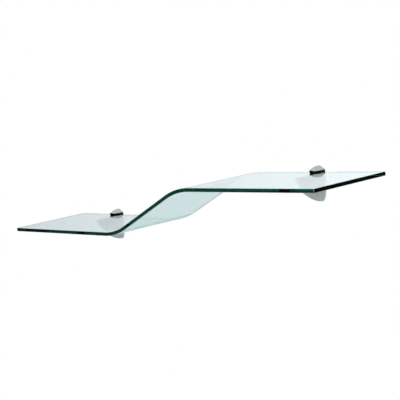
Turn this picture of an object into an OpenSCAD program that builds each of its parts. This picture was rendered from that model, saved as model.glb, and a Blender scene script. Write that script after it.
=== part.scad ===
// Wall shelf: one bent glass sheet held by two beak-shaped clamp brackets.
// X runs along the shelf, Y points into the wall (the wall is the plane y = 0), Z is up.
// The origin is midway between the two wall screw holes of the left bracket.

/* [Glass sheet] */
// Overall length of the shelf, left end to right end
shelf_length = 1000; // [900:10:1200]
// Depth of the glass, front edge to back edge
shelf_depth = 200; // [150:5:250]
// Thickness of the glass
glass_t = 8; // [8:0.5:10]
// Height of the upper flat above the lower flat
rise = 100; // [80:5:120]
// Length of each of the two flat ends
flat_length = 350; // [300:5:360]
// Radius of both bends, measured at mid-thickness
bend_r = 180; // [120:5:200]

/* [Bracket positions] */
// Distance from the left end of the glass to the middle of the left bracket
left_inset = 134; // [100:1:200]
// Distance between the middles of the two brackets
bracket_spacing = 684; // [600:1:740]
// Gap between the wall and the back edge of the glass
wall_gap = 10; // [10:0.5:14]

/* [Lower jaw] */
// Width of a bracket where it meets the wall
bracket_w = 32; // [31:0.5:36]
// Reach of the lower jaw, wall to nose
beak_reach = 70; // [55:1:90]
// Width of the lower jaw along its straight part
beak_w = 18; // [16:0.5:22]
// Height of the lower jaw at the wall, below its deck
beak_h = 51; // [44:1:60]
// Thickness of the cast walls
wall_t = 2.8; // [2.5:0.1:3.2]
// Thickness of the deck under the glass
deck_t = 3; // [3:0.5:5]

/* [Upper jaw] */
// Reach of the upper jaw, wall to front
jaw_reach = 23; // [21:0.5:26]
// Width of the upper jaw at the wall
jaw_w = 32; // [30:0.5:34]
// Height of the crown above the jaw's straight rim
crown_h = 7.8; // [7.5:0.1:12]
// Height of the straight rim
rim_h = 1; // [0.8:0.1:2]

/* [Rubber pads] */
// Thickness of the pad between the upper jaw and the glass
upper_pad_t = 3.2; // [2.5:0.1:4]
// Thickness of the pad that shows between the glass and the lower jaw
lower_pad_t = 2.2; // [1.5:0.1:3]
// Depth of the recess that holds the lower pad
pad_recess = 1; // [0.5:0.1:1.5]
// Thickness of the pad behind the glass
back_pad_t = 1.5; // [1:0.1:2]
// Reach of the lower pad, wall to front
lower_pad_reach = 25; // [20:0.5:28]
// Thickness of the upper pad's lip at the glass
lip_t = 1.6; // [1.2:0.1:2]
// How much further the lip leans forward at its top
lip_flare = 1.8; // [0:0.1:2]
// Height of the lip above the glass
lip_h = 4.6; // [4:0.1:6]
// Width of the lip
lip_w = 7; // [4:0.5:8]

/* [Clamp screw] */
// Radius of the M4 screw shank
screw_r = 2; // [2:0.5:2]
// Radius of the screw's socket head
head_r = 3.5; // [3.5:0.1:3.8]
// Height of the screw's socket head
head_h = 4; // [3:0.5:4]
// Distance from the wall to the screw's axis
screw_y = 4.6; // [4.6:0.1:5]

/* [Wall screw holes] */
// Radius of each wall screw hole
wall_hole_r = 2.25; // [2:0.05:2.4]
// Distance between the two wall screw holes of a bracket
wall_hole_spacing = 17.2; // [17:0.1:18]
// Radius of the countersink for a wall screw's head
sink_r = 3.4; // [3.3:0.1:3.6]
// Depth of the holes below the top of the glass
hole_drop = 5; // [5:0.1:5.4]

/* [Hidden] */
$fn = 64;

// Levels in a bracket's own frame, where z = 0 is the top of the glass and y = 0 is the wall.
deck_z = -glass_t - lower_pad_t;   // top of the lower jaw's deck
jaw_z = upper_pad_t;               // underside of the upper jaw
web_d = wall_gap - back_pad_t;     // depth of the web behind the glass
web_top = -0.3;                    // top of the web, just under the upper pad
shoulder_z = -3.3;                 // top of the web's full-width shoulders
shoulder_x = 12.4;                 // half-width of the web above its shoulders
leg_w = 7.2;                       // width of the upper jaw's guide leg
leg_d = 6;                         // depth of the guide leg, wall side to glass side
leg_bottom = -14;                  // lower end of the guide leg
slide_gap = 0.05;                  // clearance on each side of the guide leg
boss_z = -26;                      // underside of the boss that the clamp screw pulls against
boss_t = 3.2;                      // thickness of the boss under the leg's pocket
boss_w = 11;                       // width of the boss column
boss_d = 9.2;                      // depth of the boss column, from the wall
shank_gap = 0.15;                  // clearance of the screw in the boss
thread_gap = 0.05;                 // clearance of the screw in the leg
screw_top = 9;                     // upper end of the screw
thread_top = 9.4;                  // blind end of the threaded hole
washer_r = 3.8;
washer_t = 0.8;
clip_r = 2.9;                      // outer radius of the retaining clip
clip_t = 0.6;
clip_z = boss_z + boss_t + 0.05;   // underside of the clip
groove_r = 1.6;                    // radius of the screw at the clip's groove
key_hole_r = 4;                    // access hole for the hex key, in the belly
key_w = 3;                         // hex socket, across flats
sink_d = sink_r - wall_hole_r;     // depth of a 90 degree countersink
pad_inset = 0.4;                   // how far the pads stand inside the jaws' outlines
back_pad_w = 25;
cut = 1;                           // how far a cutting tool runs past the surface it cuts

// Superellipse falling from 1 at t = 0 to 0 at t = 1.
function falloff(t, n) = pow(max(0, 1 - pow(t, n)), 1 / n);

// Half-widths and heights, each at the distance d from the wall.
flare_reach = 30;                  // how far from the wall the flare runs
flare_power = 1.2;
function flare(d) = d < flare_reach ? pow(1 - d / flare_reach, flare_power) : 0;
nose_power = 4;                    // how blunt the lower jaw's nose is, seen from above
nose_taper = 0.3;                  // how much it narrows on the way to the nose
belly_power = 1.5;                 // fullness of the belly, seen from the side
function beak_half(d) =
  let (narrow = beak_w / 2 * (1 - nose_taper * d / beak_reach))
  narrow * falloff(d / beak_reach, nose_power) + (bracket_w - beak_w) / 2 * flare(d);
function belly_h(d) = beak_h * falloff(d / beak_reach, belly_power);
jaw_power = 2;                     // roundness of the upper jaw, seen from above
crown_power = 1.9;                 // fullness of the crown, seen from the side
bell_power = 1.35;                 // shape of the crown, seen from the front
function jaw_half(d, reach) = jaw_w / 2 * falloff(d / reach, jaw_power);
function crown_at(d) = crown_h * falloff(d / jaw_reach, crown_power);
nose_end = 0.995;                  // the loft stops here, at a small flat nose

// Each ring of a loft runs from one edge of its flat side, over its curved side, to the other edge.
ring_steps = 20;
body_power = 2.1;                  // squareness of the belly's cross-section
function power_of(v, n) = sign(v) * pow(abs(v), 2 / n);
function belly_ring(d, half, top, rim, h) = concat(
  [[half, -d, top]],
  [for (i = [0 : ring_steps]) let (a = 180 * i / ring_steps)
    [half * power_of(cos(a), body_power), -d, top - rim - h * power_of(sin(a), body_power)]],
  [[-half, -d, top]]
);
function crown_ring(d, half, bottom, rim, h) = concat(
  [[-half, -d, bottom]],
  [for (i = [0 : ring_steps]) let (x = -cos(180 * i / ring_steps))
    [half * x, -d, bottom + rim + h * pow(1 - x * x, bell_power)]],
  [[half, -d, bottom]]
);

// Solid through a list of rings, capped at both ends.
module loft(rings) {
  n = len(rings[0]);
  last = len(rings) - 1;
  sides = [for (i = [0 : last - 1], j = [0 : n - 1]) let (k = (j + 1) % n)
    [i * n + j, i * n + k, (i + 1) * n + k, (i + 1) * n + j]];
  caps = [[for (j = [n - 1 : -1 : 0]) j], [for (j = [0 : n - 1]) last * n + j]];
  polyhedron([for (ring = rings) each ring], concat(sides, caps), convexity = 6);
}

// Distances from the wall of a loft's rings, closer together towards the nose.
function stations(reach, count, end) = [for (i = [0 : count]) reach * end * sin(90 * i / count)];

belly_steps = 14;
crown_steps = 10;
module belly() {
  loft([for (d = stations(beak_reach, belly_steps, nose_end))
    belly_ring(d, beak_half(d), deck_z, rim_h, belly_h(d))]);
}

// Hollow of the lower jaw, open at the wall. It ends while it is still wall_t high.
hollow_end = 0.88;
module belly_hollow() {
  top = deck_z - deck_t;
  function hollow_ring(d, at) =
    belly_ring(at, beak_half(d) - wall_t, top, 0, belly_h(d) + rim_h - deck_t - wall_t);
  depths = stations(beak_reach, belly_steps, hollow_end);
  loft(concat([hollow_ring(0, -cut)], [for (d = depths) hollow_ring(d, d)]));
}

// Outline seen from above, through the right-hand points and their mirror images.
module mirrored(right) {
  polygon(concat(right, [for (i = [len(right) - 1 : -1 : 0]) [-right[i].x, right[i].y]]));
}

// Outline of the upper jaw or a pad seen from above, from the distance d0 to d1.
// A pad that stands on the lower jaw also stays inside that jaw's outline.
plan_steps = 14;
module plan(reach, d0, d1, inset = 0, on_lower_jaw = false) {
  function half(d) = on_lower_jaw ? min(jaw_half(d, reach), beak_half(d)) : jaw_half(d, reach);
  mirrored([for (i = [0 : plan_steps]) let (d = d0 + (d1 - d0) * sin(90 * i / plan_steps))
    [half(d) - inset, -d]]);
}

module web() {
  translate([0, 0, deck_z - deck_t / 2])
    linear_extrude(shoulder_z - deck_z + deck_t / 2)
      mirrored([for (d = [0, web_d / 3, web_d * 2 / 3, web_d]) [beak_half(d), -d]]);
  translate([-shoulder_x, -web_d, deck_z])
    cube([2 * shoulder_x, web_d, web_top - deck_z]);
}

module boss() {
  translate([-boss_w / 2, -boss_d, boss_z])
    cube([boss_w, boss_d - 0.6, deck_z - deck_t / 2 - boss_z]);
}

module leg_pocket() {
  w = leg_w + 2 * slide_gap;
  d = leg_d + 2 * slide_gap;
  floor_z = boss_z + boss_t;
  translate([-w / 2, -screw_y - d / 2, floor_z])
    cube([w, d, web_top + cut - floor_z]);
  translate([-w / 2, -screw_y, floor_z])
    cube([w, screw_y + cut, 6]);
}

module wall_holes() {
  for (side = [-1, 1])
    translate([side * wall_hole_spacing / 2, 0, -hole_drop])
      rotate([90, 0, 0]) {
        translate([0, 0, -cut]) cylinder(h = web_d + 2 * cut, r = wall_hole_r);
        translate([0, 0, web_d - sink_d])
          cylinder(h = sink_d + 0.01, r1 = wall_hole_r, r2 = sink_r + 0.01);
      }
}

module body() {
  color("silver") difference() {
    union() {
      difference() {
        belly();
        belly_hollow();
      }
      web();
      boss();
    }
    leg_pocket();
    wall_holes();
    translate([0, -screw_y, boss_z - cut])
      cylinder(h = boss_t + 2 * cut, r = screw_r + shank_gap);
    translate([0, -screw_y, deck_z - beak_h - 2 * cut])
      cylinder(h = 4 * wall_t, r = key_hole_r);
    translate([0, 0, deck_z - pad_recess])
      linear_extrude(pad_recess + cut) lower_pad_plan();
  }
}

module upper_jaw() {
  color("silver") difference() {
    union() {
      loft([for (d = stations(jaw_reach, crown_steps, nose_end))
        crown_ring(d, jaw_half(d, jaw_reach), jaw_z, rim_h, crown_at(d))]);
      translate([-leg_w / 2, -screw_y - leg_d / 2, leg_bottom])
        cube([leg_w, leg_d, jaw_z - leg_bottom + rim_h / 2]);
    }
    translate([0, -screw_y, leg_bottom - cut])
      cylinder(h = thread_top - leg_bottom + cut, r = screw_r + thread_gap);
  }
}

// The lip leans forward in front of the upper jaw, and its foot runs into the pad.
module lip() {
  front = jaw_reach + lip_t;
  foot = jaw_reach - 1;
  translate([lip_w / 2, 0, 0]) rotate([90, 0, -90])
    linear_extrude(lip_w) polygon([
      [foot, 0], [front, 0], [front + lip_flare, lip_h],
      [jaw_reach, lip_h], [jaw_reach, upper_pad_t], [foot, upper_pad_t]
    ]);
}

module upper_pad() {
  cheek_gap = 0.2;
  color("black") difference() {
    union() {
      linear_extrude(upper_pad_t) plan(jaw_reach, 0, jaw_reach * nose_end);
      lip();
      difference() {
        translate([0, 0, shoulder_z + cheek_gap])
          linear_extrude(-shoulder_z)
            plan(jaw_reach, 0, web_d - cheek_gap, on_lower_jaw = true);
        translate([-shoulder_x - cheek_gap, -wall_gap, shoulder_z - cut])
          cube([2 * (shoulder_x + cheek_gap), wall_gap + cut, -shoulder_z + cut]);
      }
    }
    translate([-leg_w / 2 - slide_gap, -screw_y - leg_d / 2 - slide_gap, -cut])
      cube([leg_w + 2 * slide_gap, leg_d + 2 * slide_gap, upper_pad_t + 2 * cut]);
  }
}

module lower_pad_plan() {
  plan(lower_pad_reach, wall_gap, lower_pad_reach * nose_end, pad_inset, true);
}

module lower_pad() {
  color("black")
    translate([0, 0, deck_z - pad_recess])
      linear_extrude(lower_pad_t + pad_recess) lower_pad_plan();
}

module back_pad() {
  color("black")
    translate([-back_pad_w / 2, -wall_gap, -glass_t])
      cube([back_pad_w, back_pad_t, glass_t + web_top - 0.1]);
}

module clamp_screw() {
  head_top = boss_z - washer_t;
  color("gainsboro") translate([0, -screw_y, 0]) difference() {
    union() {
      translate([0, 0, head_top - head_h]) cylinder(h = head_h, r = head_r);
      translate([0, 0, head_top]) cylinder(h = screw_top - head_top, r = screw_r);
    }
    translate([0, 0, head_top - head_h - cut])
      cylinder(h = head_h / 2 + cut, r = key_w / 2 / cos(30), $fn = 6);
    translate([0, 0, clip_z - 0.05]) difference() {
      cylinder(h = clip_t + 0.1, r = screw_r + cut);
      translate([0, 0, -cut]) cylinder(h = clip_t + 3 * cut, r = groove_r);
    }
  }
}

module clamp_washer() {
  color("gainsboro") translate([0, -screw_y, boss_z - washer_t]) difference() {
    cylinder(h = washer_t, r = washer_r);
    translate([0, 0, -cut]) cylinder(h = washer_t + 2 * cut, r = screw_r + thread_gap);
  }
}

module clamp_clip() {
  color("dimgray") translate([0, -screw_y, clip_z]) difference() {
    cylinder(h = clip_t, r = clip_r);
    translate([0, 0, -cut]) cylinder(h = clip_t + 2 * cut, r = groove_r + thread_gap);
    translate([-groove_r / 2, -clip_r - cut, -cut])
      cube([groove_r, clip_r + cut, clip_t + 2 * cut]);
  }
}

// The bends are tangent to both flats and to the straight ramp between them.
run = shelf_length - 2 * flat_length;
ramp_length = sqrt(run * run + pow(2 * bend_r - rise, 2) - pow(2 * bend_r, 2));
bend_angle = atan2(2 * bend_r, ramp_length) - atan2(2 * bend_r - rise, run);

bend_steps = 16;
lower_centre = [flat_length, bend_r - glass_t / 2];
upper_centre = [flat_length + run, rise - glass_t / 2 - bend_r];
inner_r = bend_r - glass_t / 2;
outer_r = bend_r + glass_t / 2;
function arc(centre, r, from, to) = [for (i = [0 : bend_steps])
  let (a = from + (to - from) * i / bend_steps) centre + r * [cos(a), sin(a)]];

// Side view of the sheet: along its underside to the right, then back along its top.
sheet_outline = concat(
  [[0, -glass_t]],
  arc(lower_centre, outer_r, -90, bend_angle - 90),
  arc(upper_centre, inner_r, bend_angle + 90, 90),
  [[shelf_length, rise - glass_t], [shelf_length, rise]],
  arc(upper_centre, outer_r, 90, bend_angle + 90),
  arc(lower_centre, inner_r, bend_angle - 90, -90),
  [[0, 0]]
);

module glass_shelf() {
  color([0.72, 0.86, 0.84, 0.5])
    translate([-left_inset, -wall_gap, hole_drop])
      rotate([90, 0, 0]) linear_extrude(shelf_depth) polygon(sheet_outline);
}

// Puts a bracket's piece in its place: 0 is the left bracket and 1 the right one.
module at_bracket(i) {
  translate([i * bracket_spacing, 0, i * rise + hole_drop]) children();
}

glass_shelf();
at_bracket(0) body();  // left_body
at_bracket(0) upper_jaw();  // left_upper_jaw
at_bracket(0) upper_pad();  // left_upper_pad
at_bracket(0) lower_pad();  // left_lower_pad
at_bracket(0) back_pad();  // left_back_pad
at_bracket(0) clamp_screw();  // left_clamp_screw
at_bracket(0) clamp_washer();  // left_clamp_washer
at_bracket(0) clamp_clip();  // left_clamp_clip
at_bracket(1) body();  // right_body
at_bracket(1) upper_jaw();  // right_upper_jaw
at_bracket(1) upper_pad();  // right_upper_pad
at_bracket(1) lower_pad();  // right_lower_pad
at_bracket(1) back_pad();  // right_back_pad
at_bracket(1) clamp_screw();  // right_clamp_screw
at_bracket(1) clamp_washer();  // right_clamp_washer
at_bracket(1) clamp_clip();  // right_clamp_clip
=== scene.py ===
"""Looks of the bent glass wall shelf and its two clamp brackets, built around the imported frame."""

import math

import bmesh
import bpy
from mathutils import Matrix, Vector


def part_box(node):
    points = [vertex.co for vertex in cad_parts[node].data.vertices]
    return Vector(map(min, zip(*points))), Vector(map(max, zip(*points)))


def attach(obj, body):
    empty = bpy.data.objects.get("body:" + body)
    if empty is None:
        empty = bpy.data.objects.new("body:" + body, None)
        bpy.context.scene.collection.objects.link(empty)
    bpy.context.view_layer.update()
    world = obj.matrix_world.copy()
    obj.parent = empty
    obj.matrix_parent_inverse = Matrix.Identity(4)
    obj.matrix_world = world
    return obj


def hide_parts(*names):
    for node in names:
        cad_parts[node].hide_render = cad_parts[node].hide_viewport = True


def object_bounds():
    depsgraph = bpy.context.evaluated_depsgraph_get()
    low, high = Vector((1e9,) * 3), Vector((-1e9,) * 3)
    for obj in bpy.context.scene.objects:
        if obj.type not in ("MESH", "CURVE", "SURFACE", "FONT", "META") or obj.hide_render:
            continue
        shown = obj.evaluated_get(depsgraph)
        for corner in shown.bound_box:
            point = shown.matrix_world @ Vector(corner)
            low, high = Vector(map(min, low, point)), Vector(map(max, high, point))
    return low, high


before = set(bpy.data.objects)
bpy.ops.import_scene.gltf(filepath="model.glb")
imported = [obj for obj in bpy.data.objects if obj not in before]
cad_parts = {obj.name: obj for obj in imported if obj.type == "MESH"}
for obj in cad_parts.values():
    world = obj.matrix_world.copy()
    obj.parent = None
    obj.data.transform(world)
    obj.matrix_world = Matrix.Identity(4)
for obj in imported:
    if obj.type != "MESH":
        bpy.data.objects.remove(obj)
cad_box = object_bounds()

MM = 0.001
SIDES = ("left", "right")


# ---------------------------------------------------------------- sizes, in millimetres

BEAK_REACH = 70
BEAK_W = 18
BEAK_H = 51
BRACKET_W = 32
WALL_T = 2.8
DECK_T = 3
JAW_REACH = 23
JAW_W = 32
CROWN_H = 7.8
RIM_H = 1
GLASS_T = 8
UPPER_PAD_T = 3.2
LOWER_PAD_T = 2.2
PAD_RECESS = 1
LIP_T = 1.6
LIP_FLARE = 1.8
LIP_H = 4.6
LIP_W = 7
LOW_PAD_REACH = 25
WALL_GAP = 10
BACK_PAD_T = 1.5
SCREW_Y = 4.6
HOLE_DROP = 5
BEND_R = 180
DECK_Z = -GLASS_T - LOWER_PAD_T
WEB_D = WALL_GAP - BACK_PAD_T
WEB_TOP = -0.3
SHOULDER_Z = -3.3
SHOULDER_X = 12.4
LEG_W = 7.2
LEG_D = 6
LEG_BOTTOM = -14
SLIDE_GAP = 0.05
BOSS_Z = -26
BOSS_T = 3.2
BOSS_W = 11
BOSS_D = 9.2
PAD_INSET = 0.4
SCREW_R = 2
SCREW_TOP = 9
HEAD_R = 3.5
HEAD_H = 4
SOCKET_R = 1.732                   # across the corners, for a 3 mm key
THREAD_PITCH = 0.7
GROOVE_R = 1.6
WASHER_T = 0.8
HOLE_X = 8.6
HOLE_R = 2.25
SINK_R = 3.41
SINK_DEPTH = 1.15
KEY_HOLE_R = 4
FLAT_LENGTH = 350
FLARE_REACH = 30
FLARE_POWER = 1.2
NOSE_POWER = 4
NOSE_TAPER = 0.3
BELLY_POWER = 1.5
BODY_POWER = 2.1
JAW_POWER = 2
CROWN_POWER = 1.9
BELL_POWER = 1.35
HOLLOW_END = 0.88                  # where the lower jaw's hollow stops, as a share of its reach
NOSE_END = 0.995                   # where a loft stops, at a small flat nose


def falloff(t, power):
    """Superellipse that falls from 1 at t = 0 to 0 at t = 1."""
    return max(0.0, 1 - t**power) ** (1 / power)


def flare(d):
    """How far a jaw has widened towards the wall, at the distance d from it."""
    return (1 - d / FLARE_REACH) ** FLARE_POWER if d < FLARE_REACH else 0


def beak_half(d):
    narrow = BEAK_W / 2 * (1 - NOSE_TAPER * d / BEAK_REACH)
    return narrow * falloff(d / BEAK_REACH, NOSE_POWER) + (BRACKET_W - BEAK_W) / 2 * flare(d)


def belly_h(d):
    return BEAK_H * falloff(d / BEAK_REACH, BELLY_POWER)


def jaw_half(d, reach):
    return JAW_W / 2 * falloff(d / reach, JAW_POWER)


def crown_at(d):
    return CROWN_H * falloff(d / JAW_REACH, CROWN_POWER)


def stations(reach, count, end=NOSE_END):
    """Distances from the wall, closer together towards the nose."""
    return [reach * end * math.sin(math.pi / 2 * i / count) for i in range(count + 1)]


# ---------------------------------------------------------------- mesh helpers


def make(name, verts, faces, scale=MM):
    """A mesh object from points in millimetres."""
    mesh = bpy.data.meshes.new(name)
    mesh.from_pydata([Vector(v) * scale for v in verts], [], faces)
    mesh.validate()
    obj = bpy.data.objects.new(name, mesh)
    bpy.context.scene.collection.objects.link(obj)
    bm = bmesh.new()
    bm.from_mesh(mesh)
    bmesh.ops.recalc_face_normals(bm, faces=bm.faces)
    bm.to_mesh(mesh)
    bm.free()
    return obj


def loft(name, rings):
    """A closed solid through rings of points, capped at both ends."""
    n = len(rings[0])
    verts = [p for ring in rings for p in ring]
    faces = []
    for i in range(len(rings) - 1):
        for j in range(n):
            k = (j + 1) % n
            faces.append((i * n + j, i * n + k, (i + 1) * n + k, (i + 1) * n + j))
    faces.append(tuple(range(n - 1, -1, -1)))
    faces.append(tuple((len(rings) - 1) * n + j for j in range(n)))
    return make(name, verts, faces)


def prism(name, outline, z0, z1):
    """An outline of (x, y) points, extruded from z0 to z1."""
    n = len(outline)
    verts = [(x, y, z) for z in (z0, z1) for x, y in outline]
    faces = [tuple(range(n - 1, -1, -1)), tuple(range(n, 2 * n))]
    faces += [(j, (j + 1) % n, n + (j + 1) % n, n + j) for j in range(n)]
    return make(name, verts, faces)


def block(name, lo, hi):
    x0, y0, z0 = lo
    x1, y1, z1 = hi
    return prism(name, [(x0, y0), (x1, y0), (x1, y1), (x0, y1)], z0, z1)


def rod(name, r, z0, z1, at=(0, 0), axis="Z", r1=None, steps=48):
    """A round rod or cone along an axis. On the Y axis, z0 and z1 are distances from the wall."""
    far = r if r1 is None else r1
    rings = []
    for radius, z in ((r, z0), (far, z1)):
        turn = [2 * math.pi * i / steps for i in range(steps)]
        if axis == "Z":
            rings.append([(at[0] + radius * math.cos(a), at[1] + radius * math.sin(a), z) for a in turn])
        else:
            rings.append([(at[0] + radius * math.cos(a), -z, at[1] + radius * math.sin(a)) for a in turn])
    return loft(name, rings)


def apply_modifiers(obj):
    dg = bpy.context.evaluated_depsgraph_get()
    mesh = bpy.data.meshes.new_from_object(obj.evaluated_get(dg))
    obj.modifiers.clear()
    old, obj.data = obj.data, mesh
    bpy.data.meshes.remove(old)


def combine(obj, other, operation):
    """Boolean of obj with other, which is used up."""
    mod = obj.modifiers.new("combine", "BOOLEAN")
    mod.operation = operation
    mod.solver = "EXACT"
    mod.object = other
    apply_modifiers(obj)
    bpy.data.objects.remove(other)
    return obj


def soften(obj, width, segments=3, angle=38):
    """Rounds the edges sharper than the angle, and shades the rest smooth."""
    bm = bmesh.new()
    bm.from_mesh(obj.data)
    bmesh.ops.remove_doubles(bm, verts=bm.verts, dist=0.002 * MM)
    bmesh.ops.dissolve_degenerate(bm, edges=bm.edges, dist=0.002 * MM)
    bm.to_mesh(obj.data)
    bm.free()
    mod = obj.modifiers.new("round", "BEVEL")
    mod.width = width * MM
    mod.segments = segments
    mod.limit_method = "ANGLE"
    mod.angle_limit = math.radians(angle)
    mod.harden_normals = False
    mod.use_clamp_overlap = True
    apply_modifiers(obj)
    obj.data.shade_smooth()
    obj.data.set_sharp_from_angle(angle=math.radians(angle))
    return obj


def place(obj, side):
    """Moves a bracket's piece from the bracket's own frame into the row frame."""
    lo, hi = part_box(f"{side}_body")
    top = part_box(f"{side}_lower_pad")[1].z + GLASS_T * MM
    obj.data.transform(Matrix.Translation(((lo.x + hi.x) / 2, hi.y, top)))
    return obj


# ---------------------------------------------------------------- materials


def new_material(name):
    mat = bpy.data.materials.new(name)
    mat.use_nodes = True
    nodes, links = mat.node_tree.nodes, mat.node_tree.links
    return mat, nodes, links, nodes["Principled BSDF"]


def noise(nodes, links, scale, detail=4.0, rough=0.6):
    coords = nodes.get("coords") or nodes.new("ShaderNodeTexCoord")
    coords.name = "coords"
    tex = nodes.new("ShaderNodeTexNoise")
    tex.inputs["Scale"].default_value = scale
    tex.inputs["Detail"].default_value = detail
    tex.inputs["Roughness"].default_value = rough
    links.new(coords.outputs["Object"], tex.inputs["Vector"])
    return tex.outputs["Fac"]


def span(nodes, links, value, lo, hi, low=0.0, high=1.0):
    """Maps low..high of a value to lo..hi."""
    node = nodes.new("ShaderNodeMapRange")
    node.inputs["From Min"].default_value = low
    node.inputs["From Max"].default_value = high
    node.inputs["To Min"].default_value = lo
    node.inputs["To Max"].default_value = hi
    links.new(value, node.inputs["Value"])
    return node.outputs["Result"]


def blend_colour(nodes, links, factor, a, b):
    mix = nodes.new("ShaderNodeMix")
    mix.data_type = "RGBA"
    links.new(factor, mix.inputs["Factor"])
    mix.inputs["A"].default_value = (*a, 1)
    mix.inputs["B"].default_value = (*b, 1)
    return mix.outputs["Result"]


def cloudy(nodes, links, cloud, a, b):
    """Drifts between two colours with the middle of a noise."""
    return blend_colour(nodes, links, span(nodes, links, cloud, 0, 1, 0.3, 0.7), a, b)


def bump(nodes, links, height, strength, distance, shader):
    node = nodes.new("ShaderNodeBump")
    node.inputs["Strength"].default_value = strength
    node.inputs["Distance"].default_value = distance
    links.new(height, node.inputs["Height"])
    links.new(node.outputs["Normal"], shader.inputs["Normal"])


def satin_metal():
    mat, nodes, links, shader = new_material("satin_metal")
    cloud = noise(nodes, links, 60, 5)
    grain = noise(nodes, links, 2600, 3)
    edges = nodes.new("ShaderNodeNewGeometry").outputs["Pointiness"]
    base = cloudy(nodes, links, cloud, (0.415, 0.41, 0.402), (0.47, 0.463, 0.452))
    # Lighter colour on sharp convex edges, where the pointiness is high
    convex_edge_lighter = nodes.new("ShaderNodeMix")
    convex_edge_lighter.data_type = "RGBA"
    links.new(span(nodes, links, edges, 0, 0.6, 0.52, 0.6), convex_edge_lighter.inputs["Factor"])
    links.new(base, convex_edge_lighter.inputs["A"])
    convex_edge_lighter.inputs["B"].default_value = (0.7, 0.69, 0.67, 1)
    links.new(convex_edge_lighter.outputs["Result"], shader.inputs["Base Color"])
    shader.inputs["Metallic"].default_value = 1
    links.new(span(nodes, links, cloud, 0.3, 0.4, 0.3, 0.7), shader.inputs["Roughness"])
    bump(nodes, links, grain, 0.12, 0.00004, shader)
    return mat


def black_rubber():
    mat, nodes, links, shader = new_material("black_rubber")
    cloud = noise(nodes, links, 180, 4)
    grain = noise(nodes, links, 3200, 2)
    base = cloudy(nodes, links, cloud, (0.002, 0.002, 0.002), (0.006, 0.006, 0.006))
    links.new(base, shader.inputs["Base Color"])
    shader.inputs["Specular IOR Level"].default_value = 0.1
    links.new(span(nodes, links, cloud, 0.55, 0.75, 0.3, 0.7), shader.inputs["Roughness"])
    bump(nodes, links, grain, 0.25, 0.00006, shader)
    return mat


def steel(name, dark, light, rough):
    mat, nodes, links, shader = new_material(name)
    cloud = noise(nodes, links, 240, 4)
    grain = noise(nodes, links, 1800, 3)
    links.new(cloudy(nodes, links, cloud, dark, light), shader.inputs["Base Color"])
    shader.inputs["Metallic"].default_value = 1
    links.new(span(nodes, links, cloud, rough - 0.06, rough + 0.06, 0.3, 0.7), shader.inputs["Roughness"])
    bump(nodes, links, grain, 0.1, 0.00003, shader)
    return mat


GLASS_TINT = (0.48, 0.76, 0.715)
GLASS_DENSITY = 50.0


def clear_glass(name, rough_lo, rough_hi, tint):
    """Clear glass whose body colour comes from absorption along the path through it."""
    mat, nodes, links, shader = new_material(name)
    smear = noise(nodes, links, 9, 3)
    shader.inputs["Transmission Weight"].default_value = 1
    shader.inputs["IOR"].default_value = 1.52
    lighter = tuple(min(1, c * 1.01) for c in tint)
    links.new(cloudy(nodes, links, smear, tint, lighter), shader.inputs["Base Color"])
    links.new(span(nodes, links, smear, rough_lo, rough_hi, 0.4, 0.7), shader.inputs["Roughness"])
    absorb = nodes.new("ShaderNodeVolumeAbsorption")
    absorb.inputs["Color"].default_value = (*GLASS_TINT, 1)
    absorb.inputs["Density"].default_value = GLASS_DENSITY
    links.new(absorb.outputs["Volume"], nodes["Material Output"].inputs["Volume"])
    return mat


def ground_glass():
    """The small flat ground along each edge, ground glass that scatters the light; its dark grey-green
    colour is painted shade that stands in for the dark band along the edges.
    """
    mat, nodes, links, shader = new_material("ground_arris_painted_shade")
    grit = noise(nodes, links, 900, 4)
    shader.inputs["Transmission Weight"].default_value = 0.5
    shader.inputs["IOR"].default_value = 1.52
    # Painted shade: the ground glass is coloured dark grey-green so that the edges read as a dark band
    base = cloudy(nodes, links, grit, (0.2, 0.3, 0.285), (0.27, 0.37, 0.35))
    links.new(base, shader.inputs["Base Color"])
    links.new(span(nodes, links, grit, 0.45, 0.65, 0.3, 0.7), shader.inputs["Roughness"])
    bump(nodes, links, grit, 0.2, 0.00005, shader)
    return mat


METAL = satin_metal()
RUBBER = black_rubber()
ZINC = steel("zinc_steel", (0.62, 0.63, 0.64), (0.72, 0.72, 0.71), 0.28)
SPRING = steel("spring_steel", (0.12, 0.12, 0.125), (0.18, 0.18, 0.18), 0.38)
FACE_GLASS = clear_glass("face_glass", 0.0, 0.004, (1.0, 1.0, 1.0))
EDGE_GLASS = clear_glass("edge_glass", 0.02, 0.06, (0.9, 0.96, 0.94))
ARRIS_GLASS_PAINTED_DARK = ground_glass()


def finish_piece(obj, mat, node, body):
    obj.data.materials.clear()
    obj.data.materials.append(mat)
    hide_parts(node)
    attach(obj, body)
    return obj


# ---------------------------------------------------------------- glass sheet


def sheet_path():
    """Middle line of the sheet in the X-Z plane, as (x, z, slope angle), in millimetres."""
    lo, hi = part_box("glass_shelf")
    length = (hi.x - lo.x) / MM
    rise = (hi.z - lo.z) / MM - GLASS_T
    left = lo.x / MM
    base = lo.z / MM + GLASS_T / 2
    flat = FLAT_LENGTH
    run = length - 2 * flat
    ramp = math.sqrt(run**2 + (2 * BEND_R - rise) ** 2 - (2 * BEND_R) ** 2)
    angle = math.atan2(2 * BEND_R, ramp) - math.atan2(2 * BEND_R - rise, run)
    path = [(left + flat * i / 7, base, 0.0) for i in range(7)]
    steps = 28
    for i in range(steps + 1):
        a = angle * i / steps
        path.append((left + flat + BEND_R * math.sin(a), base + BEND_R * (1 - math.cos(a)), a))
    for i in range(1, 6):
        s = ramp * i / 6
        x, z, _ = path[7 + steps]
        path.append((x + s * math.cos(angle), z + s * math.sin(angle), angle))
    for i in range(steps + 1):
        a = angle * (1 - i / steps)
        path.append((left + flat + run - BEND_R * math.sin(a), base + rise - BEND_R * (1 - math.cos(a)), a))
    path += [(left + flat + run + flat * i / 7, base + rise, 0.0) for i in range(1, 8)]
    return path


ARRIS = 0.55


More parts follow.
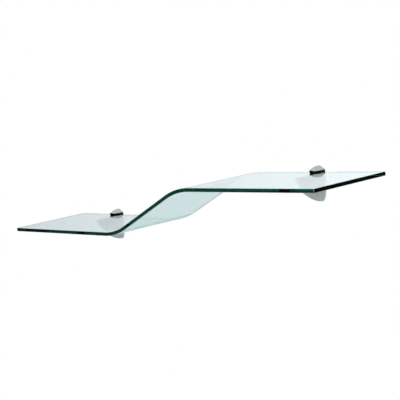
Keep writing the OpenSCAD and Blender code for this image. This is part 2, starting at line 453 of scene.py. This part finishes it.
def glass_shelf():
    """The bent sheet, with ground and polished edges and a small flat arris along every one."""
    lo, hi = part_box("glass_shelf")
    front, back = lo.y / MM, hi.y / MM
    half = GLASS_T / 2
    across = [front, front + 40, (front + back) / 2, back - 40, back]
    rings = []
    for x, z, a in sheet_path():
        nx, nz = -math.sin(a), math.cos(a)
        top = [(x + nx * half, y, z + nz * half) for y in across]
        under = [(x - nx * half, y, z - nz * half) for y in reversed(across)]
        rings.append(top + under)
    obj = loft("glass_shelf_sheet", rings)
    obj.data.materials.append(FACE_GLASS)
    obj.data.materials.append(EDGE_GLASS)
    obj.data.materials.append(ARRIS_GLASS_PAINTED_DARK)
    mod = obj.modifiers.new("arris", "BEVEL")
    mod.width = ARRIS * MM
    mod.segments = 1
    mod.limit_method = "ANGLE"
    mod.angle_limit = math.radians(60)
    mod.material = 2
    mod.harden_normals = True
    for face in obj.data.polygons:
        if abs(face.normal.y) > 0.9 or abs(face.normal.x) > 0.9:
            face.material_index = 1
    obj.data.shade_smooth()
    apply_modifiers(obj)
    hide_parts("glass_shelf")
    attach(obj, "shelf")
    return obj


# ---------------------------------------------------------------- bracket pieces


def belly_ring(d, half, top, rim, h, at=None, steps=36):
    y = -(d if at is None else at)

    def curved(v):
        return math.copysign(abs(v) ** (2 / BODY_POWER), v)

    arc = [math.pi * i / steps for i in range(steps + 1)]
    side = [(half * curved(math.cos(a)), y, top - rim - h * curved(math.sin(a))) for a in arc]
    return [(half, y, top)] + side + [(-half, y, top)]


def crown_ring(d, steps=36):
    half, bottom, h = jaw_half(d, JAW_REACH), UPPER_PAD_T, crown_at(d)
    across = [-math.cos(math.pi * i / steps) for i in range(steps + 1)]
    over = [(half * x, -d, bottom + RIM_H + h * max(0, 1 - x * x) ** BELL_POWER) for x in across]
    return [(-half, -d, bottom)] + over + [(half, -d, bottom)]


def mirrored(right):
    """An outline from above, through the right-hand points and their mirror images."""
    return right + [(-x, y) for x, y in reversed(right)]


def plan(reach, d0, d1, inset=0.0, on_lower_jaw=False, count=24):
    """Outline of a jaw or pad from above, from the distance d0 to d1 from the wall.

    A pad that stands on the lower jaw also stays inside that jaw's outline.
    """
    depths = [d0 + (d1 - d0) * math.sin(math.pi / 2 * i / count) for i in range(count + 1)]
    limit = beak_half if on_lower_jaw else lambda d: math.inf
    return mirrored([(min(jaw_half(d, reach), limit(d)) - inset, -d) for d in depths])


def low_pad_plan():
    return plan(LOW_PAD_REACH, WALL_GAP, LOW_PAD_REACH * NOSE_END, PAD_INSET, True)


def body(side):
    rings = [belly_ring(d, beak_half(d), DECK_Z, RIM_H, belly_h(d)) for d in stations(BEAK_REACH, 44)]
    obj = loft(f"{side}_lower_jaw", rings)

    def hollow_ring(d, at=None):
        h = belly_h(d) + RIM_H - DECK_T - WALL_T
        return belly_ring(d, beak_half(d) - WALL_T, DECK_Z - DECK_T, 0, h, at)

    inner = [hollow_ring(0, -1)] + [hollow_ring(d) for d in stations(BEAK_REACH, 30, HOLLOW_END)]
    combine(obj, loft("hollow", inner), "DIFFERENCE")
    sides = [(beak_half(WEB_D * i / 8), -WEB_D * i / 8) for i in range(9)]
    combine(obj, prism("web", mirrored(sides), DECK_Z - DECK_T / 2, SHOULDER_Z), "UNION")
    combine(obj, block("web_top", (-SHOULDER_X, -WEB_D, DECK_Z), (SHOULDER_X, 0, WEB_TOP)), "UNION")
    boss = block("boss", (-BOSS_W / 2, -BOSS_D, BOSS_Z), (BOSS_W / 2, -0.6, DECK_Z - DECK_T / 2))
    combine(obj, boss, "UNION")
    w, d, floor = LEG_W / 2 + SLIDE_GAP, LEG_D / 2 + SLIDE_GAP, BOSS_Z + BOSS_T
    combine(obj, block("pocket", (-w, -SCREW_Y - d, floor), (w, -SCREW_Y + d, WEB_TOP + 1)), "DIFFERENCE")
    combine(obj, block("window", (-w, -SCREW_Y, floor), (w, 1, floor + 6)), "DIFFERENCE")
    for x in (-HOLE_X, HOLE_X):
        combine(obj, rod("hole", HOLE_R, -1, WEB_D + 1, (x, -HOLE_DROP), "Y"), "DIFFERENCE")
        sink = rod("sink", HOLE_R, WEB_D - SINK_DEPTH, WEB_D + 0.01, (x, -HOLE_DROP), "Y", r1=SINK_R)
        combine(obj, sink, "DIFFERENCE")
    combine(obj, rod("bore", 2.15, BOSS_Z - 1, floor + 1, (0, -SCREW_Y)), "DIFFERENCE")
    belly_z = DECK_Z - BEAK_H
    combine(obj, rod("key_hole", KEY_HOLE_R, belly_z - 2, belly_z + 9.2, (0, -SCREW_Y)), "DIFFERENCE")
    combine(obj, prism("recess", low_pad_plan(), DECK_Z - PAD_RECESS, DECK_Z + 1), "DIFFERENCE")
    soften(obj, 0.45)
    place(obj, side)
    return finish_piece(obj, METAL, f"{side}_body", "shelf")


def upper_jaw(side):
    obj = loft(f"{side}_crown", [crown_ring(d) for d in stations(JAW_REACH, 32)])
    leg = block(
        "leg",
        (-LEG_W / 2, -SCREW_Y - LEG_D / 2, LEG_BOTTOM),
        (LEG_W / 2, -SCREW_Y + LEG_D / 2, UPPER_PAD_T + RIM_H / 2),
    )
    combine(obj, leg, "UNION")
    combine(obj, rod("thread", 2.05, LEG_BOTTOM - 1, 9.4, (0, -SCREW_Y)), "DIFFERENCE")
    soften(obj, 0.4)
    place(obj, side)
    return finish_piece(obj, METAL, f"{side}_upper_jaw", f"{side}_jaw")


def upper_pad(side):
    obj = prism(f"{side}_upper_rubber", plan(JAW_REACH, 0, JAW_REACH * NOSE_END), 0, UPPER_PAD_T)
    front = JAW_REACH + LIP_T
    profile = [
        (JAW_REACH - 1, 0), (front, 0), (front + LIP_FLARE, LIP_H),
        (JAW_REACH, LIP_H), (JAW_REACH, UPPER_PAD_T), (JAW_REACH - 1, UPPER_PAD_T),
    ]
    lip = [[(x, -d, z) for d, z in profile] for x in (-LIP_W / 2, LIP_W / 2)]
    combine(obj, loft("lip", lip), "UNION")
    cheek_gap = 0.2
    outline = plan(JAW_REACH, 0, WEB_D - cheek_gap, on_lower_jaw=True)
    cheeks = prism("cheeks", outline, SHOULDER_Z + cheek_gap, 0.5)
    gap = SHOULDER_X + cheek_gap
    combine(cheeks, block("web_room", (-gap, -WALL_GAP, SHOULDER_Z - 1), (gap, 1, 0)), "DIFFERENCE")
    combine(obj, cheeks, "UNION")
    w, d = LEG_W / 2 + SLIDE_GAP, LEG_D / 2 + SLIDE_GAP
    combine(obj, block("leg_room", (-w, -SCREW_Y - d, -1), (w, -SCREW_Y + d, UPPER_PAD_T + 1)), "DIFFERENCE")
    soften(obj, 0.3)
    place(obj, side)
    return finish_piece(obj, RUBBER, f"{side}_upper_pad", f"{side}_jaw")


def lower_pad(side):
    obj = prism(f"{side}_lower_rubber", low_pad_plan(), DECK_Z - PAD_RECESS, -GLASS_T)
    soften(obj, 0.25)
    place(obj, side)
    return finish_piece(obj, RUBBER, f"{side}_lower_pad", "shelf")


def back_pad(side):
    obj = block(f"{side}_back_rubber", (-12.5, -WALL_GAP, -GLASS_T), (12.5, -WEB_D, WEB_TOP - 0.1))
    soften(obj, 0.3)
    place(obj, side)
    return finish_piece(obj, RUBBER, f"{side}_back_pad", "shelf")


def ring_of(radius, z, steps):
    """A ring of points at the height z, with a radius that depends on the angle."""
    turn = [2 * math.pi * i / steps for i in range(steps)]
    return [(radius(a) * math.cos(a), radius(a) * math.sin(a) - SCREW_Y, z) for a in turn]


def clamp_screw(side):
    """The socket-head screw: knurled head with chamfers, hex socket, rolled thread and clip groove."""
    head_z, top_z = BOSS_Z - WASHER_T, SCREW_TOP
    knurls, depth = 36, 0.14

    def knurled(rise):
        return lambda a: HEAD_R - depth * rise * (0.5 + 0.5 * math.cos(knurls * a))

    # Height up the head, how far the chamfer stands in, and how deep the knurls are.
    levels = [
        (0, 0.45, 0), (0.45, 0, 0), (0.75, 0, 1),
        (HEAD_H - 0.75, 0, 1), (HEAD_H - 0.45, 0, 0), (HEAD_H, 0.3, 0),
    ]
    rings = []
    for height, inset, rise in levels:
        around = knurled(rise)
        rings.append(ring_of(lambda a: around(a) - inset, head_z - HEAD_H + height, 4 * knurls))
    obj = loft(f"{side}_socket_screw", rings)
    thread_depth, rings_per_turn, groove_w, foot = 0.32, 7, 0.7, 0.2
    groove_z = BOSS_Z + BOSS_T
    count = int((top_z - head_z) / THREAD_PITCH * rings_per_turn)
    shank = []
    for i in range(count + 1):
        z = head_z - foot + (top_z - head_z + foot) * i / count

        def threaded(a, z=z):
            if groove_z <= z <= groove_z + groove_w:
                return GROOVE_R
            if z < groove_z or z > top_z - 0.3:
                return SCREW_R - 0.02
            phase = (z / THREAD_PITCH - a / (2 * math.pi)) % 1
            return SCREW_R - thread_depth * abs(2 * phase - 1)

        shank.append(ring_of(threaded, z, 40))
    combine(obj, loft("shank", shank), "UNION")
    corners = [math.pi / 3 * i for i in range(6)]
    hexagon = [(SOCKET_R * math.cos(a), SOCKET_R * math.sin(a) - SCREW_Y) for a in corners]
    combine(obj, prism("socket", hexagon, head_z - HEAD_H - 1, head_z - HEAD_H / 2), "DIFFERENCE")
    obj.data.shade_smooth()
    obj.data.set_sharp_from_angle(angle=math.radians(32))
    place(obj, side)
    return finish_piece(obj, ZINC, f"{side}_clamp_screw", f"{side}_screw")


def dress(node, mat):
    """Gives a carried-over CAD node its material."""
    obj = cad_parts[node]
    obj.data.materials.clear()
    obj.data.materials.append(mat)


glass_shelf()
for side in SIDES:
    body(side)
    upper_jaw(side)
    upper_pad(side)
    lower_pad(side)
    back_pad(side)
    clamp_screw(side)
    dress(f"{side}_clamp_washer", ZINC)
    dress(f"{side}_clamp_clip", SPRING)


# ---------------------------------------------------------------- floor, light and camera

lo, hi = cad_box
FLOOR_DROP = 0.6

FLOOR_HALF = 2.4
floor = make(
    "studio_floor",
    [(x * FLOOR_HALF, y * FLOOR_HALF, 0) for x, y in ((-1, -1), (1, -1), (1, 1), (-1, 1))],
    [(0, 1, 2, 3)],
    1,
)
floor.location = ((lo.x + hi.x) / 2, (lo.y + hi.y) / 2, lo.z - FLOOR_DROP)
floor_mat, nodes, links, shader = new_material("studio_floor")
shader.inputs["Base Color"].default_value = (0.71, 0.79, 0.8, 1)
shader.inputs["Roughness"].default_value = 0.9
white = nodes.new("ShaderNodeEmission")
pick = nodes.new("ShaderNodeMixShader")
links.new(nodes.new("ShaderNodeLightPath").outputs["Is Camera Ray"], pick.inputs["Fac"])
links.new(shader.outputs["BSDF"], pick.inputs[1])
links.new(white.outputs["Emission"], pick.inputs[2])
one_sided = nodes.new("ShaderNodeMixShader")
links.new(nodes.new("ShaderNodeNewGeometry").outputs["Backfacing"], one_sided.inputs["Fac"])
links.new(pick.outputs["Shader"], one_sided.inputs[1])
links.new(nodes.new("ShaderNodeBsdfTransparent").outputs["BSDF"], one_sided.inputs[2])
links.new(one_sided.outputs["Shader"], nodes["Material Output"].inputs["Surface"])
floor.data.materials.append(floor_mat)

world = bpy.data.worlds.new("studio")
world.use_nodes = True
bpy.context.scene.world = world
nodes, links = world.node_tree.nodes, world.node_tree.links
BEHIND = 0.85                      # the room on the camera's side
BACKDROP = (0.73, 1.18)            # behind the shelf, from the left of the view to the right
BACKDROP_LOW = (0.74, 0.93)         # the same, below the horizon
OVERHEAD = 1.1
FLAG_DARK = 0.94                   # how much light the two dark side panels take away


def along(direction):
    """How far a ray points along a direction, as a node output."""
    dot = nodes.new("ShaderNodeVectorMath")
    dot.operation = "DOT_PRODUCT"
    dot.inputs[1].default_value = direction
    links.new(sky_coords.outputs["Generated"], dot.inputs[0])
    return dot.outputs["Value"]


def mix_value(factor, a, b):
    mix = nodes.new("ShaderNodeMix")
    links.new(factor, mix.inputs["Factor"])
    for value, socket in ((a, "A"), (b, "B")):
        if isinstance(value, float):
            mix.inputs[socket].default_value = value
        else:
            links.new(value, mix.inputs[socket])
    return mix.outputs["Result"]


# The camera sees a pure white backdrop. Everything else sees a softer room, brighter on the right.
YAW = math.radians(49.33)
sky_coords = nodes.new("ShaderNodeTexCoord")
ahead = span(nodes, links, along((-math.sin(YAW), math.cos(YAW), 0)), 0, 1, 0.55, 0.9)
sideways = along((math.cos(YAW), math.sin(YAW), 0))
high = span(nodes, links, sideways, *BACKDROP, -0.2, 0.15)
low = span(nodes, links, sideways, *BACKDROP_LOW, -0.2, 0.15)
horizon = span(nodes, links, along((0, 0, 1)), 0, 1, -0.06, 0.08)
walls = mix_value(ahead, BEHIND, mix_value(horizon, low, high))
room = mix_value(span(nodes, links, along((0, 0, 1)), 0, 1, 0.15, 0.8), walls, OVERHEAD)
# Two dark panels, one on each side of the view, give the glass its dark edges.
for way in (Vector((-0.757, -0.645, -0.11)), Vector((0.757, 0.645, -0.11))):
    panel = span(nodes, links, along(way.normalized()), 0, FLAG_DARK, 0.86, 0.97)
    scale = nodes.new("ShaderNodeMath")
    scale.operation = "MULTIPLY_ADD"
    links.new(room, scale.inputs[0])
    flip = nodes.new("ShaderNodeMath")
    flip.operation = "MULTIPLY"
    flip.inputs[1].default_value = -1
    links.new(panel, flip.inputs[0])
    links.new(flip.outputs["Value"], scale.inputs[1])
    links.new(room, scale.inputs[2])
    room = scale.outputs["Value"]
seen = nodes.new("ShaderNodeLightPath").outputs["Is Camera Ray"]
sky = nodes["Background"]
links.new(mix_value(seen, room, 1.0), sky.inputs["Strength"])
tint = blend_colour(nodes, links, ahead, (0.97, 1.0, 1.005), (0.99, 1.0, 1.045))
plain = nodes.new("ShaderNodeMix")
plain.data_type = "RGBA"
links.new(seen, plain.inputs["Factor"])
links.new(tint, plain.inputs["A"])
plain.inputs["B"].default_value = (1, 1, 1, 1)
links.new(plain.outputs["Result"], sky.inputs["Color"])


def area_light(name, place_at, aim, size, power):
    data = bpy.data.lights.new(name, "AREA")
    data.shape = "RECTANGLE"
    data.size, data.size_y = size
    data.energy = power
    obj = bpy.data.objects.new(name, data)
    bpy.context.scene.collection.objects.link(obj)
    obj.location = place_at
    obj.rotation_mode = "QUATERNION"
    obj.rotation_quaternion = (Vector(aim) - Vector(place_at)).to_track_quat("-Z", "Y")
    obj.visible_camera = False
    return obj


centre = (lo + hi) / 2
area_light("key", centre + Vector((0.6, -1.0, 2.2)), centre, (3.0, 2.4), 6)

PITCH, ROLL = math.radians(7.0), math.radians(-7.1)
CAMERA_LENS = 113.7
CAMERA_OFFSET = Vector((2.5804, -1.6292, 0.3830))   # from the glass's front left corner, in metres
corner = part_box("glass_shelf")[0] + Vector((0, 0, GLASS_T * MM))
forward = Vector((-math.sin(YAW) * math.cos(PITCH), math.cos(YAW) * math.cos(PITCH), -math.sin(PITCH)))
level = Vector((math.cos(YAW), math.sin(YAW), 0))
upright = level.cross(forward)
right = level * math.cos(ROLL) + upright * math.sin(ROLL)
up = upright * math.cos(ROLL) - level * math.sin(ROLL)
camera_data = bpy.data.cameras.new("camera")
camera_data.lens = CAMERA_LENS
camera_data.sensor_width = 36
camera = bpy.data.objects.new("camera", camera_data)
bpy.context.scene.collection.objects.link(camera)
turn = Matrix((right, up, -forward)).transposed().to_4x4()
camera.matrix_world = Matrix.Translation(corner + CAMERA_OFFSET) @ turn
camera_data.clip_start, camera_data.clip_end = 0.05, 200
bpy.context.scene.camera = camera
bpy.context.scene.view_settings.view_transform = "Standard"
